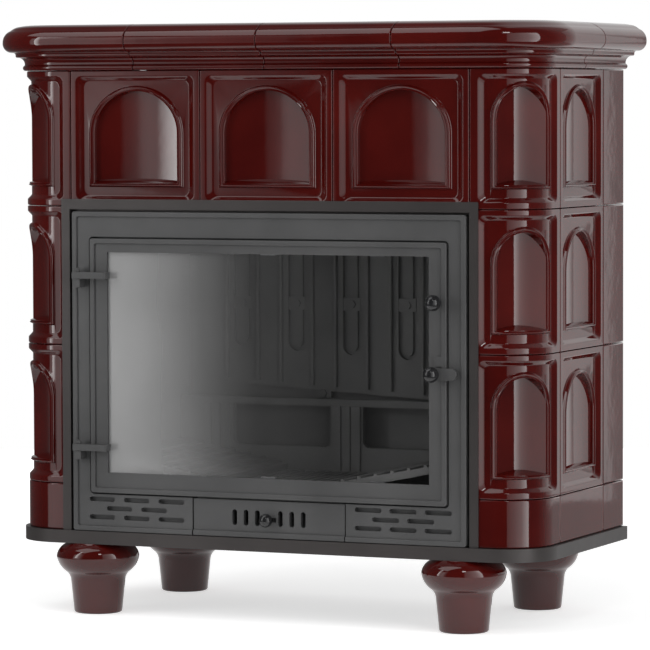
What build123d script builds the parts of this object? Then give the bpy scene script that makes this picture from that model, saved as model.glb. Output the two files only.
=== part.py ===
"""A tiled stove: a cast iron fire insert in a casing of glazed stove tiles, on four turned feet.

Millimetres. +X is to the right of someone who faces the stove, the fire door faces -Y and
+Z is up. The origin is on the floor, under the middle of the stove's outline.
"""
from build123d import *
import os
from math import radians, sin

os.makedirs("parts", exist_ok=True)

# ---------------------------------------------------------------- driving dimensions
TILE_W = 220.0            # width of one front tile, joint to joint
ROW_H = 214.0             # height of one row of tiles, joint to joint
ROWS = 3                  # rows above the plinth
TOP_ROW_H = 208.0         # the top row is cut by the cornice that sits on it
PLINTH_H = 72.0
BASE_T = 20.0             # height of the steel tray under the tiles
BASE_OUT = 6.5            # how far the tray stands out past the tiles
FOOT_H = 110.0
CORNER_LEG = 31.0         # straight part of a corner tile, each side of its round
CORNER_R = 73.0           # radius of the round corner
SIDE_TILE_W = 186.5
STRIP_W = 91.5            # plain strip at the back of each side
TILE_T = 46.0             # depth of a tile with its back rim
TILE_WALL = 13.0          # thickness of a tile's back rim
BORDER_W = 14.0           # raised border round each tile
PANEL_D = 6.5             # the panel lies this far behind the border
JOINT = 1.2               # half of the open joint between two tile faces
FACE_T = 6.0              # depth of the open joint
ARCH_HALF = 80.0          # half width of the arch moulding on a front tile
SIDE_ARCH_HALF = 69.0     # the same on a side tile
MOULDING_W = 9.0          # width of the arch moulding
MOULDING_D = 2.0          # the moulding's front lies this far behind the border
NICHE = (12.0, 5.0)       # depth of a front niche behind the panel at the middle, less by this at its sides
SIDE_NICHE = (7.0, 4.0)   # the same of a side niche
BACK_POCKET = 14.0        # depth of the pocket in a tile's back
PANEL_CORNER_R = 11.0     # rounded corners of the sunk panel
CORNER_NICHE_D = 22.0     # depth of a corner tile's niche behind its panel, at the middle
CORNER_BOW = 9.4          # and how much less deep it is at its sides
SILL_Z = 31.0             # sill of the niche above the bottom of its tile
ARCH_TOP_Z = 185.0        # top of the arch moulding above the bottom of its tile
SILL_SLOPE = 27.0         # degrees that the sill rises towards the back
CORNICE_OUT = 37.5        # overhang of the cornice
CORNICE_H = 70.0
CORNICE_IN = 45.0         # the cornice reaches this far in over the tiles
REBATE_IN = 33.0          # rebate that holds the top plate
REBATE_Z = 42.0           # height of the rebate above the cornice's underside
FOOT_X = 306.0            # feet from the middle of the stove
FOOT_INSET = 38.0         # foot axes behind the front and in front of the back
FOOT_R = 64.0             # largest radius of a foot
FOOT_BOLT_R = 5.0

INSERT_W = 652.6          # cast iron front of the fire insert
INSERT_H = 491.5
INSERT_T = 16.0
LIP_W = 8.0               # raised lip round the cast front and the door
LIP_H = 3.0
LIP_R = 1.4               # rounding of the lips' front edges
LIP_CORNER = 4.0          # rounded corners of the lips, seen from the front
GRILLE_SLOT = (43.8, 7.0) # length and height of a slot in the lower grilles
GRILLE_D = 6.0            # the slots end this far behind the tile face
GRILLE_X = (-159.4, 167.8)  # first slot of the left and right grille
GRILLE_PITCH = (-59.1, 56.6)
GRILLE_Z = 179.8          # the grilles' upper row
GRILLE_ROW = 13.8
DOOR_W = 591.0
DOOR_H = 391.0
DOOR_GAP = 2.5
DOOR_Z = 190.0            # underside of the door above the floor
GLASS_HALF = 267.0        # half width of the window
GLASS_Z = (221.0, 560.0)  # lower and upper edge of the window
GLASS_T = 4.0
DOOR_FRONT = -6.0         # door's lip, from the tile face; minus is towards the room
HINGE_X = -311.0
HINGE_Y = -14.5
HINGE_Z = (260.0, 524.5)  # middle of each hinge arm
PIN_R = 3.0
ARM_HALF = 5.0            # half height and half thickness of a hinge arm
ARM_END = 9.5             # the arm reaches this far past its pin
KNOB_X = 282.0
LATCH_X = 279.0
KNOB_Z = 492.5
LATCH_Z = 386.5
BALL_R = 12.0
STEM_R = 4.0              # latch shaft
PANEL_HALF = 125.5        # half width of the ash drawer's front
DRAWER_X = 4.0            # the drawer is this far right of the middle
PANEL_Y = -1.0
DRAWER_GAP = 2.0          # open joint at each side of the drawer's front
SLOT_PITCH = 19.0         # air slots in the ash drawer's front
SLOT_W = 8.0
SLOT_H = 24.0
SLOTS = (-3, -2, -1, 1, 2, 3)
AIR_TRAVEL = 8.5          # travel of the air slide that closes the slots
AIR_KNOB_DROP = 2.0       # the slide's knob is this far below the middle of the slots
AIR_BALL_R = 10.3
AIR_Z = 160.6             # middle height of the air slots
TRIM_W = 345.0            # half width of the steel surround
TRIM_TOP = 641.0
FLUE_R = 75.5             # bore of the flue collar, for a 150 mm pipe
FLUE_Y = 235.0            # flue axis behind the tile face
FIREBOX_HALF = 300.0
FIREBOX_Z = (185.0, 606.0)
FIREBOX_BACK = 346.0
BACK_FALL = 0.055         # fall of the ribbed plate's lower edge, mm per mm to the right

# ---------------------------------------------------------------- worked-out dimensions
DEPTH = CORNER_R + CORNER_LEG + SIDE_TILE_W + STRIP_W
HALF_W = 1.5 * TILE_W + CORNER_LEG + CORNER_R
FACE_Y = (CORNICE_OUT + FOOT_INSET - FOOT_R - DEPTH) / 2
BASE_Z = FOOT_H + BASE_T
ROW_Z = [BASE_Z + PLINTH_H + ROW_H * i for i in range(ROWS)]
CORNICE_Z = ROW_Z[-1] + TOP_ROW_H
TOP_Z = CORNICE_Z + CORNICE_H
CORNER_END = CORNER_R + CORNER_LEG
ARC_X = HALF_W - CORNER_R
SIDE_MID = CORNER_END + SIDE_TILE_W / 2
INSERT_TOP = BASE_Z + 0.5 + INSERT_H
DOOR_TOP = DOOR_Z + DOOR_H
FEET = {
    "front_left": (-FOOT_X, FOOT_INSET),
    "front_right": (FOOT_X, FOOT_INSET),
    "rear_left": (-FOOT_X, DEPTH - FOOT_INSET),
    "rear_right": (FOOT_X, DEPTH - FOOT_INSET),
}


# ---------------------------------------------------------------- helpers
def block(x, y, z):
    """A box from its three ranges; y counts back from the tile face."""
    size = (x[1] - x[0], y[1] - y[0], z[1] - z[0])
    middle = ((x[0] + x[1]) / 2, FACE_Y + (y[0] + y[1]) / 2, (z[0] + z[1]) / 2)
    return Pos(*middle) * Box(*size)


def rod(x, y, z, radius, length, axis="Z"):
    """A cylinder with its middle at x, y, z, along one axis."""
    turn = {"X": Rot(0, 90, 0), "Y": Rot(90, 0, 0), "Z": Rot(0, 0, 0)}[axis]
    return Pos(x, FACE_Y + y, z) * turn * Cylinder(radius, length)


def plan(offset):
    """The casing's outline seen from above, moved out by an offset."""
    outline = Pos(0, FACE_Y + (DEPTH - offset) / 2) * Rectangle(2 * (HALF_W + offset), DEPTH + offset)
    front = outline.vertices().group_by(Axis.Y)[0]
    return fillet(front, CORNER_R + offset)


def ring(outer, inner, z):
    """A wall that follows the casing, open at the back, between two offsets."""
    wall = extrude(plan(outer) - plan(inner), z[1] - z[0])
    return Pos(0, 0, z[0]) * wall


def both(shape):
    """The mirror image on the left side."""
    return mirror(shape, Plane.YZ)


def arch(half, low, high, depth):
    """An upright round-arched prism, its front face on y = 0 and its depth along +y."""
    spring = high - half
    face = Pos(0, (low + spring) / 2) * Rectangle(2 * half, spring - low)
    face = face + Pos(0, spring) * Circle(half)
    return extrude(Rot(90, 0, 0) * face, -depth)


def slot(length, height, depth):
    """A slot with round ends, along X, cut front to back."""
    return extrude(Rot(90, 0, 0) * SlotOverall(length, height), depth / 2, both=True)


def frame_ring(half, z, width, y):
    """A rectangular ring in the plane of the door; width is one number for all four sides."""
    outer = block((-half, half), y, z)
    inner = block((-half + width, half - width), (y[0] - 1, y[1] + 1), (z[0] + width, z[1] - width))
    return outer - inner


def save(shape, node):
    """Writes one sub-part."""
    export_step(shape, f"parts/{node}.step")


# ---------------------------------------------------------------- tiles
def tile_body(x, y, z):
    """A plain tile: full size behind, a little smaller at its face so that the joints show."""
    body = ring(-FACE_T, -TILE_T, z) & block(x, y, z)
    face_x = (x[0] + JOINT if x[0] > -HALF_W else x[0], x[1] - JOINT if x[1] < HALF_W else x[1])
    face_y = (y[0] + JOINT if y[0] > 0 else y[0], y[1] - JOINT)
    face_z = (z[0] + JOINT, z[1] - JOINT)
    return body + (ring(0, -FACE_T, face_z) & block(face_x, face_y, face_z))


def recess(half, low, high, depth, bow):
    """An arched hollow with its mouth on y = 0 and a back that bows away from the mouth."""
    radius = (half**2 + bow**2) / (2 * bow)
    bowed = Pos(0, depth - radius, (low + high) / 2) * Cylinder(radius, 2 * (high - low))
    return arch(half, low, high, depth) & bowed


def niche(half, low, high, depth, bow):
    """The hollow of a flat tile's niche, with a sill that rises towards the back."""
    hollow = recess(half, low, high, PANEL_D + depth, bow)
    sill = Pos(0, PANEL_D, low) * Rot(SILL_SLOPE, 0, 0)
    return hollow - sill * Pos(0, 0, -2 * half) * Box(8 * half, 8 * half, 4 * half)


def relief_arch(half, low, high, front):
    """The arch moulding as a ring, from its front back to just behind the panel."""
    width = MOULDING_W
    depth = PANEL_D + 1 - front
    outer = arch(half, low, high, depth)
    inner = arch(half - width, low + width, high - width, depth)
    return Pos(0, front, 0) * (outer - inner)


def flat_relief(tile, place, half, width, z, hollow):
    """Cuts the panel and niche of a flat tile and adds its arch moulding; place faces the tile."""
    low, high = z[0] + SILL_Z, z[0] + ARCH_TOP_Z
    middle = (z[0] + z[1]) / 2
    panel = Box(width - 2 * BORDER_W, 2 * PANEL_D, z[1] - z[0] - 2 * BORDER_W)
    panel = fillet(panel.edges().filter_by(Axis.Y), PANEL_CORNER_R)
    tile = tile - place * Pos(0, 0, middle) * panel
    tile = tile - place * niche(half - MOULDING_W, low + MOULDING_W, high - MOULDING_W, *hollow)
    back = Box(width - 2 * TILE_WALL, 2 * BACK_POCKET, z[1] - z[0] - 2 * TILE_WALL)
    tile = tile - place * Pos(0, TILE_T, middle) * back
    return tile + place * relief_arch(half, low, high, MOULDING_D)


def front_tile(index):
    """One of the three flat tiles above the fire."""
    middle = index * TILE_W
    x, z = (middle - TILE_W / 2, middle + TILE_W / 2), (ROW_Z[-1], CORNICE_Z)
    tile = tile_body(x, (-1, TILE_T + 1), z)
    return flat_relief(tile, Pos(middle, FACE_Y, 0), ARCH_HALF, TILE_W, z, NICHE)


def side_tile(z):
    """A flat tile on the right side."""
    tile = tile_body((0, HALF_W + 1), (CORNER_END, CORNER_END + SIDE_TILE_W), z)
    place = Pos(HALF_W, FACE_Y + SIDE_MID, 0) * Rot(0, 0, 90)
    return flat_relief(tile, place, SIDE_ARCH_HALF, SIDE_TILE_W, z, SIDE_NICHE)


def corner_tile(z, start):
    """The right corner tile; start is where it begins, measured from the stove's middle."""
    low, high = z[0] + SILL_Z, z[0] + ARCH_TOP_Z
    tile = tile_body((start, HALF_W + 1), (-1, CORNER_END), z)
    panel_z = (z[0] + BORDER_W, z[1] - BORDER_W)
    panel_x = (1.5 * TILE_W + BORDER_W, HALF_W + 1)
    tile = tile - (ring(1, -PANEL_D, panel_z) & block(panel_x, (-2, CORNER_END - BORDER_W), panel_z))

    place = Pos(ARC_X, FACE_Y + CORNER_R, 0) * Rot(0, 0, 45)
    panel_r = CORNER_R - PANEL_D
    half = CORNER_R * sin(radians(45))
    inner = half - MOULDING_W
    outward = Pos(0, -CORNER_R - 1, 0)
    depth = 1 + PANEL_D + CORNER_NICHE_D
    opening = recess(inner, low + MOULDING_W, high - MOULDING_W, depth, CORNER_BOW)
    sill = Pos(0, -panel_r, low + MOULDING_W) * Rot(SILL_SLOPE, 0, 0)
    sill = sill * Pos(0, 0, -2 * half) * Box(8 * half, 8 * half, 4 * half)
    tile = tile - place * (outward * opening - sill)

    moulding = outward * arch(half, low, high, CORNER_R)
    moulding = moulding - outward * arch(inner, low + MOULDING_W, high - MOULDING_W, CORNER_R)
    shell = Cylinder(CORNER_R - MOULDING_D, 2 * high) - Cylinder(panel_r - 1, 2 * high)
    return tile + place * (moulding & shell)


def strip(z):
    """The plain strip at the back of the right side."""
    return tile_body((0, HALF_W + 1), (CORNER_END + SIDE_TILE_W, DEPTH), z)


def tiles():
    """Every tile of the casing."""
    for index, name in zip((-1, 0, 1), ("left", "middle", "right")):
        save(front_tile(index), f"front_tile_{name}")
    starts = (TRIM_W - 9.5, TRIM_W - 9.5, 1.5 * TILE_W)
    names = ("bottom", "middle", "top")
    strips = []
    for name, low, start in zip(names, ROW_Z, starts):
        z = (low, low + (TOP_ROW_H if name == "top" else ROW_H))
        corner, side = corner_tile(z, start), side_tile(z)
        save(corner, f"corner_tile_{name}_right")
        save(both(corner), f"corner_tile_{name}_left")
        save(side, f"side_tile_{name}_right")
        save(both(side), f"side_tile_{name}_left")
        strips.append(strip(z))
    plinth_z = (BASE_Z, ROW_Z[0])
    plinth_corner = tile_body((starts[0], HALF_W + 1), (-1, CORNER_END), plinth_z)
    plinth_side = tile_body((0, HALF_W + 1), (CORNER_END, CORNER_END + SIDE_TILE_W), plinth_z)
    strips.append(strip(plinth_z))
    for shape, name in ((plinth_corner, "plinth_corner"), (plinth_side, "plinth_side")):
        save(shape, f"{name}_right")
        save(both(shape), f"{name}_left")
    save(Compound(children=strips), "rear_strips_right")
    save(Compound(children=[both(s) for s in strips]), "rear_strips_left")


# ---------------------------------------------------------------- cornice
def cornice_profile():
    """The cornice's section: out from the tile face, and up from its underside."""
    outline = [
        Line((-CORNICE_IN, 0), (2, 0)),
        ThreePointArc((2, 0), (6.3, 4.2), (3.2, 8.5)),
        Line((3.2, 8.5), (3.2, 12)),
        ThreePointArc((3.2, 12), (7.5, 18.5), (16, 21)),
        Line((16, 21), (17, 24.5)),
        ThreePointArc((17, 24.5), (CORNICE_OUT, 44), (22, 65)),
        ThreePointArc((22, 65), (10, 68.6), (-6, CORNICE_H)),
        Line((-6, CORNICE_H), (-REBATE_IN, CORNICE_H)),
        Line((-REBATE_IN, CORNICE_H), (-REBATE_IN, REBATE_Z)),
        Line((-REBATE_IN, REBATE_Z), (-CORNICE_IN, REBATE_Z)),
        Line((-CORNICE_IN, REBATE_Z), (-CORNICE_IN, 0)),
    ]
    return make_face(outline)


def cornice_section():
    """The plane of the section: its x goes out towards -y and its y goes up."""
    return Plane(origin=(0, 0, CORNICE_Z), x_dir=(0, -1, 0), z_dir=(-1, 0, 0))


def cornice_run(length):
    """A straight length along +X, its tile face on y = 0 and its overhang towards -y."""
    return extrude(cornice_section() * cornice_profile(), -length)


def cornice():
    """Two front pieces, two corner pieces that turn the round, and two side pieces."""
    gap = 0.4
    front = Pos(gap, FACE_Y, 0) * cornice_run(TILE_W - 2 * gap)
    save(front, "cornice_front_right")
    save(both(front), "cornice_front_left")
    run = ARC_X - TILE_W
    section = cornice_section() * (Pos(CORNER_R, 0) * cornice_profile())
    turn = revolve(section, Axis.Z, 90)
    side_run = SIDE_MID - CORNER_R
    corner = Pos(TILE_W + gap, FACE_Y, 0) * cornice_run(run - gap)
    corner = corner + Pos(ARC_X, FACE_Y + CORNER_R, 0) * turn
    corner = corner + Pos(HALF_W, FACE_Y + CORNER_R, 0) * Rot(0, 0, 90) * cornice_run(side_run - gap)
    save(corner, "cornice_corner_right")
    save(both(corner), "cornice_corner_left")
    side = Pos(HALF_W, FACE_Y + SIDE_MID + gap, 0) * Rot(0, 0, 90) * cornice_run(DEPTH - SIDE_MID - gap)
    save(side, "cornice_side_right")
    save(both(side), "cornice_side_left")


# ---------------------------------------------------------------- base, feet and casing steel
def base():
    """The steel tray that the tiles stand on: a top sheet with a turned-down rim."""
    wall = 4.0
    tray = Pos(0, 0, FOOT_H) * extrude(plan(BASE_OUT), BASE_T)
    tray = tray - Pos(0, 0, FOOT_H) * extrude(plan(BASE_OUT - wall), BASE_T - wall)
    tray = tray + Pos(0, 0, FOOT_H) * extrude(plan(BASE_OUT) & back_rim(wall), BASE_T)
    for x, y in FEET.values():
        tray = tray + rod(x, y, FOOT_H + (BASE_T - wall) / 2, 30.0, BASE_T - wall)
        tray = tray - rod(x, y, FOOT_H + BASE_T / 2, FOOT_BOLT_R + 0.5, BASE_T + 2)
    save(tray, "base_tray")


def back_rim(width):
    """A strip along the back edge of the casing's outline."""
    return Pos(0, FACE_Y + DEPTH - width / 2) * Rectangle(4 * HALF_W, width)


def foot_profile():
    """Half of a foot's section, from its axis out."""
    outline = [
        Line((0, 0), (34, 0)),
        ThreePointArc((34, 0), (36.6, 1.0), (37.6, 3.5)),
        Line((37.6, 3.5), (42.2, 50)),
        ThreePointArc((42.2, 50), (44.4, 57.5), (49, 63.5)),
        ThreePointArc((49, 63.5), (59.5, 74.5), (FOOT_R, 88)),
        ThreePointArc((FOOT_R, 88), (60.2, 98.5), (51, FOOT_H - 3.5)),
        Line((51, FOOT_H - 3.5), (47, FOOT_H)),
        Line((47, FOOT_H), (0, FOOT_H)),
        Line((0, FOOT_H), (0, 0)),
    ]
    return make_face(outline)


def feet():
    """Four turned ceramic feet and the bolts that hold them."""
    foot = revolve(Plane.XZ * foot_profile(), Axis.Z)
    foot = foot - Pos(0, 0, FOOT_H - 40) * Cylinder(FOOT_BOLT_R + 0.5, 82)
    bolts = []
    for name, (x, y) in FEET.items():
        save(Pos(x, FACE_Y + y, 0) * foot, f"foot_{name}")
        shank = rod(x, y, BASE_Z - 40, FOOT_BOLT_R, 80)
        washer = rod(x, y, BASE_Z + 1, 11.0, 2)
        head = Pos(x, FACE_Y + y, BASE_Z + 2) * extrude(RegularPolygon(9.2, 6), 6.4)
        bolts.append(shank + washer + head)
    save(Compound(children=bolts), "foot_bolts")


def casing_steel():
    """The surround between tiles and insert, the top plate and the rear panel."""
    flange, sheet, leg = 14.0, 2.0, 40.0
    seat_w, seat_y = 12.0, (9.4, 11.4)
    half = TRIM_W
    inner = half - flange
    inner_top = TRIM_TOP - 15.5
    front = block((-half, half), (-sheet - 0.5, -0.5), (BASE_Z, TRIM_TOP))
    front = front - block((-inner, inner), (-9, 9), (BASE_Z - 1, inner_top))
    back = block((-inner - sheet, inner + sheet), (-0.5, leg), (BASE_Z, inner_top + sheet))
    back = back - block((-inner, inner), (-9, leg + 9), (BASE_Z - 1, inner_top))
    seat = block((-inner, inner), seat_y, (BASE_Z, inner_top))
    seat = seat - block((seat_w - inner, inner - seat_w), (0, leg), (BASE_Z - 1, inner_top - seat_w))
    save(front + back + seat, "surround_trim")

    plate_t = 4.0
    vent_w, vent_y, vent_pitch = 10.0, (60, 120), 40.0
    low = CORNICE_Z + REBATE_Z
    top = Pos(0, 0, low) * extrude(plan(-REBATE_IN - 0.5), plate_t)
    top = top - rod(0, FLUE_Y, low + plate_t / 2, FLUE_R + 9, 2 * plate_t)
    for i in range(-7, 8):
        x = i * vent_pitch
        top = top - block((x - vent_w / 2, x + vent_w / 2), vent_y, (low - 1, low + plate_t + 1))
    save(top, "top_plate")

    slot_l, slot_h, slot_pitch, row_pitch, first = 40.0, 7.0, 60.0, 22.0, 60.0
    half = HALF_W - TILE_T
    rear = block((-half, half), (DEPTH - 4, DEPTH - 2), (BASE_Z, low))
    for start in (BASE_Z + first, CORNICE_Z - 100):
        for row in range(3):
            for i in range(-5, 6):
                place = Pos(i * slot_pitch, FACE_Y + DEPTH - 3, start + row * row_pitch)
                rear = rear - place * slot(slot_l, slot_h, 8.0)
    save(rear, "rear_panel")


# ---------------------------------------------------------------- cast insert
def lip(half, z, y):
    """The raised lip round a cast frame, its corners and front edges rounded."""
    ring_shape = frame_ring(half, z, LIP_W, y)
    ring_shape = fillet(ring_shape.edges().filter_by(Axis.Y), LIP_CORNER)
    return fillet(ring_shape.edges().group_by(Axis.Y)[0], LIP_R)


def rounded(half, y, z, radius):
    """A plate in the plane of the door with rounded corners."""
    plate = block((-half, half), y, z)
    return fillet(plate.edges().filter_by(Axis.Y), radius)


def insert_front():
    """The cast front: a raised lip, a flat field, the door opening and the lower grilles."""
    half = INSERT_W / 2
    field, back, seat = -2.0, 9.0, 12.0
    z = (BASE_Z + 0.5, INSERT_TOP)
    plate = rounded(half, (field, back), z, LIP_CORNER) + lip(half, z, (field - LIP_H, field))
    opening_half = DOOR_W / 2 + DOOR_GAP
    opening_z = (DOOR_Z - DOOR_GAP, DOOR_TOP + DOOR_GAP)
    plate = plate - rounded(opening_half, (-9, 20), opening_z, LIP_CORNER + DOOR_GAP)
    stop_half, stop_z = opening_half + 4, (opening_z[0] - 4, opening_z[1] + 4)
    plate = plate + frame_ring(stop_half, stop_z, 15.0, (seat, INSERT_T))
    plate = plate + frame_ring(stop_half, stop_z, 4.0, (back - 1, seat))
    drawer_x = (DRAWER_X - PANEL_HALF - DRAWER_GAP, DRAWER_X + PANEL_HALF + DRAWER_GAP)
    plate = plate - block(drawer_x, (-9, 20), (z[0] - 1, opening_z[0] + 1))
    for place in grille_places():
        plate = plate - place * slot(GRILLE_SLOT[0], GRILLE_SLOT[1], 2 * (GRILLE_D - field))
    lug_x = (HINGE_X - 5.5, HINGE_X + 5.5)
    for middle in HINGE_Z:
        lug_z = (middle - ARM_HALF - 13, middle - ARM_HALF - 1)
        lug = block(lug_x, (HINGE_Y - 4.5, field + 1), lug_z)
        plate = plate + lug - rod(HINGE_X, HINGE_Y, middle, PIN_R, 60)
    save(plate, "insert_front")


def grille_places():
    """Where the slots of the two lower grilles are: rows of three, two and three."""
    rows = ((0, 3), (1, 2), (2, 3))
    places = []
    for start, pitch in zip(GRILLE_X, GRILLE_PITCH):
        for row, count in rows:
            first = start + (pitch / 2 if count == 2 else 0)
            z = GRILLE_Z - row * GRILLE_ROW
            places += [Pos(first + i * pitch, FACE_Y - 2, z) for i in range(count)]
    return places


def firebox():
    """The cast box behind the door, open at the front, with the plates that line it."""
    wall = 9.0
    x, z = FIREBOX_HALF, FIREBOX_Z
    inside, low, high = x - wall, z[0] + wall, z[1] - wall
    shell = block((-x, x), (INSERT_T, FIREBOX_BACK), z)
    shell = shell - block((-inside, inside), (INSERT_T - 1, FIREBOX_BACK - wall), (low, high))
    shell = shell - rod(0, FLUE_Y, z[1], FLUE_R, 60)
    shell = shell - block((-90, 90), (70, 270), (z[0] - 1, low + 1))
    save(shell, "firebox")

    save(lower_back(inside, low), "lower_back_plate")
    save(ribbed_back(high), "ribbed_back_plate")
    baffle_z = (high - 19, high - 11)
    save(block((-inside, inside), (150, FIREBOX_BACK - wall), baffle_z), "baffle_plate")
    plate = hearth_plate(inside - 0.5, low)
    save(plate, "hearth_plate_left")
    save(both(plate), "hearth_plate_right")

    bar_w, bar_pitch, bar_h = 7.0, 15.2, 14.0
    grate_z = (low + 1, low + 1 + bar_h)
    grate = block((-100, 100), (62, 278), grate_z)
    grate = grate - block((-88, 88), (72, 268), (low, grate_z[1] + 1))
    for i in range(-5, 6):
        middle = i * bar_pitch
        grate = grate + block((middle - bar_w / 2, middle + bar_w / 2), (70, 270), grate_z)
    save(grate, "grate")


def lower_back(inside, low):
    """The lower back wall with its two windows and three pillars."""
    plate = block((-inside, inside), (302, 314), (low, 320))
    for side in (-1, 1):
        window = Pos(side * 113, FACE_Y + 308, 276.5) * Box(170, 40, 65)
        bottom = window.edges().filter_by(Axis.Y).group_by(Axis.Z)[0]
        plate = plate - fillet(bottom, 10)
    groove_x, groove_w = 8.0, 2.5
    for middle in (0, -227, 227):
        plate = plate + block((middle - 24, middle + 24), (298, 303), (low, 309))
        for x in (middle - groove_x, middle + groove_x):
            plate = plate - block((x - groove_w / 2, x + groove_w / 2), (297, 301), (low, 310))
    return plate


def bolt_boss(x, y, z):
    """A cast six-sided boss on the face of a plate."""
    return Pos(x, FACE_Y + y, z) * Rot(90, 0, 0) * extrude(RegularPolygon(6.5, 6), 3.5)


def ribbed_back(high):
    """The upper back plate: long slots with a bridge across, between upright ribs."""
    half, edge_z, corner = 262.0, 329.0, 50.0
    front, back, bottom_z = 324.0, 334.0, 389.0
    recess_w, recess_d, island_w, island_d = 31.0, 7.5, 17.0, 2.5
    bridge_z, rib_x, rib_w, rib_out = (459, 480), 27.5, 6.0, 7.0
    tab_x, tab_w, tab_z = -50.0, 26.0, (320.5, 336)
    top = high - 20
    left, right = edge_z + BACK_FALL * half, edge_z - BACK_FALL * half
    outline = make_face(Polyline((-half, top), (-half, left), (half, right), (half, top), close=True))
    lower = outline.vertices().group_by(Axis.Y)
    outline = fillet(lower[0] + lower[1], corner)
    plate = Pos(0, FACE_Y + back, 0) * extrude(Rot(90, 0, 0) * outline, back - front)
    for i in range(-2, 3):
        middle = i * 95.0
        bottom = bottom_z - BACK_FALL * middle
        tall = high - 30 - bottom
        place = Pos(middle, FACE_Y + front, bottom + tall / 2)
        recess = Rot(0, 90, 0) * slot(tall, recess_w, 2 * recess_d)
        island = Rot(0, 90, 0) * slot(tall - 12, island_w, recess_d - island_d)
        plate = plate - place * recess + place * Pos(0, (recess_d + island_d) / 2, 0) * island
        plate = plate + block((middle - 15, middle + 15), (front, front + recess_d + 1), bridge_z)
        plate = plate + bolt_boss(middle, front + 0.5, sum(bridge_z) / 2)
        for x in (middle - rib_x, middle + rib_x):
            foot_z = edge_z - BACK_FALL * x + 8
            rib = block((x - rib_w / 2, x + rib_w / 2), (front - rib_out, front + 1), (foot_z, high - 22))
            plate = plate + fillet(rib.edges().filter_by(Axis.Z).group_by(Axis.Y)[0], 1.5)
    plate = plate + block((tab_x - tab_w / 2, tab_x + tab_w / 2), (front, back), tab_z)
    return plate + bolt_boss(tab_x, front + 0.5, tab_z[0] + 7)


def hearth_plate(outer, low):
    """The left sloping hearth plate with its ribs; the right one mirrors it."""
    inner, leg = 101.0, 8.0
    high_z, low_z, sheet = 252.0, 216.0, 12.0
    length, back, rib_w, rib_out, rib_pitch = 273.0, 297.0, 5.0, 3.5, 27.0
    fall = (high_z - low_z) / (outer - inner)
    points = [(-outer, low), (-outer, high_z), (-inner, low_z), (-inner, low)]
    points += [(-inner - leg, low), (-inner - leg, low_z - sheet)]
    points += [(-outer + leg, high_z - sheet), (-outer + leg, low)]
    section = make_face(Polyline(*points, close=True))
    plate = Pos(0, FACE_Y + back, 0) * extrude(Rot(90, 0, 0) * section, length)
    for i in range(6):
        x = -inner - rib_pitch * (i + 0.5)
        top = low_z + fall * (-x - inner) + rib_out
        plate = plate + block((x - rib_w / 2, x + rib_w / 2), (back - length, back), (top - 2 * rib_out, top))
    return plate


def flue():
    """The flue collar that stands on the firebox and takes the pipe at the top."""
    low, high = FIREBOX_Z[1], TOP_Z - 4
    wall, flange, rim, rim_h = 4.5, 11.0, 7.0, 8.0
    collar = rod(0, FLUE_Y, (low + high) / 2, FLUE_R + wall, high - low)
    collar = collar + rod(0, FLUE_Y, low + rim_h / 2, FLUE_R + flange, rim_h)
    collar = collar + rod(0, FLUE_Y, high - rim_h / 2, FLUE_R + rim, rim_h)
    collar = collar - rod(0, FLUE_Y, (low + high) / 2, FLUE_R, high - low + 2)
    save(collar, "flue_collar")


# ---------------------------------------------------------------- ash drawer and air slide
def ash_drawer():
    """The ash housing, the drawer that slides in it, and the air slide in the drawer's front."""
    housing = block((-136, 136), (INSERT_T, 300), (BASE_Z, FIREBOX_Z[0]))
    housing = housing - block((-131, 131), (9, 295), (BASE_Z + 4, FIREBOX_Z[0] + 1))
    save(housing, "ash_housing")

    z = (BASE_Z + 1.2, DOOR_Z - DOOR_GAP - 0.5)
    back, rail_h, rail_gap = PANEL_Y + 6, 3.0, 16.5
    front = block((-PANEL_HALF, PANEL_HALF), (PANEL_Y, back), z)
    front = front + block((-PANEL_HALF, PANEL_HALF), (PANEL_Y - LIP_H, back), (z[0], z[0] + LIP_W))
    front = air_slots(front)
    knob_z = AIR_Z - AIR_KNOB_DROP
    stem = 3.0
    way_x = (-stem - 0.5, AIR_TRAVEL + stem + 0.5)
    front = front - block(way_x, (PANEL_Y - 9, 20), (knob_z - stem - 0.5, knob_z + stem + 0.5))
    for rail in (AIR_Z - rail_gap - rail_h, AIR_Z + rail_gap):
        front = front + block((-80, 80), (back, back + 4), (rail, rail + rail_h))
    place = Pos(DRAWER_X, 0, 0)
    save(place * front, "ash_drawer_front")

    pan = block((-122, 122), (back, 285), (BASE_Z + 5, FIREBOX_Z[0] - 8))
    pan = pan - block((-119, 119), (back + 8, 282), (BASE_Z + 8, FIREBOX_Z[0]))
    pan = pan - block((-100, 100), (back - 1, back + 6), (BASE_Z, FIREBOX_Z[0]))
    pan = pan - block((-70, 70), (back, back + 9), (AIR_Z - SLOT_H / 2, AIR_Z + SLOT_H / 2))
    save(place * pan, "ash_pan")

    slide_half, slide_t = 72.0, 3.0
    slide_y = (back + 0.4, back + 0.4 + slide_t)
    slide = block((-slide_half, slide_half), slide_y, (AIR_Z - 16, AIR_Z + 16))
    slide = air_slots(slide)
    stem_y = (PANEL_Y - 2, slide_y[0] + 1)
    slide = slide + rod(0, sum(stem_y) / 2, knob_z, stem, stem_y[1] - stem_y[0], "Y")
    save(place * slide, "air_slide")
    knob = Pos(0, FACE_Y + stem_y[0] - AIR_BALL_R + 1, knob_z) * Sphere(AIR_BALL_R)
    knob = knob - block((-20, 20), (stem_y[0], 20), (knob_z - 20, knob_z + 20))
    save(place * knob, "air_knob")


def air_slots(sheet):
    """Cuts the upright air slots into a sheet behind the drawer's face."""
    cutter = Rot(0, 90, 0) * slot(SLOT_H, SLOT_W, 60.0)
    for i in SLOTS:
        sheet = sheet - Pos(i * SLOT_PITCH, FACE_Y, AIR_Z) * cutter
    return sheet


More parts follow.
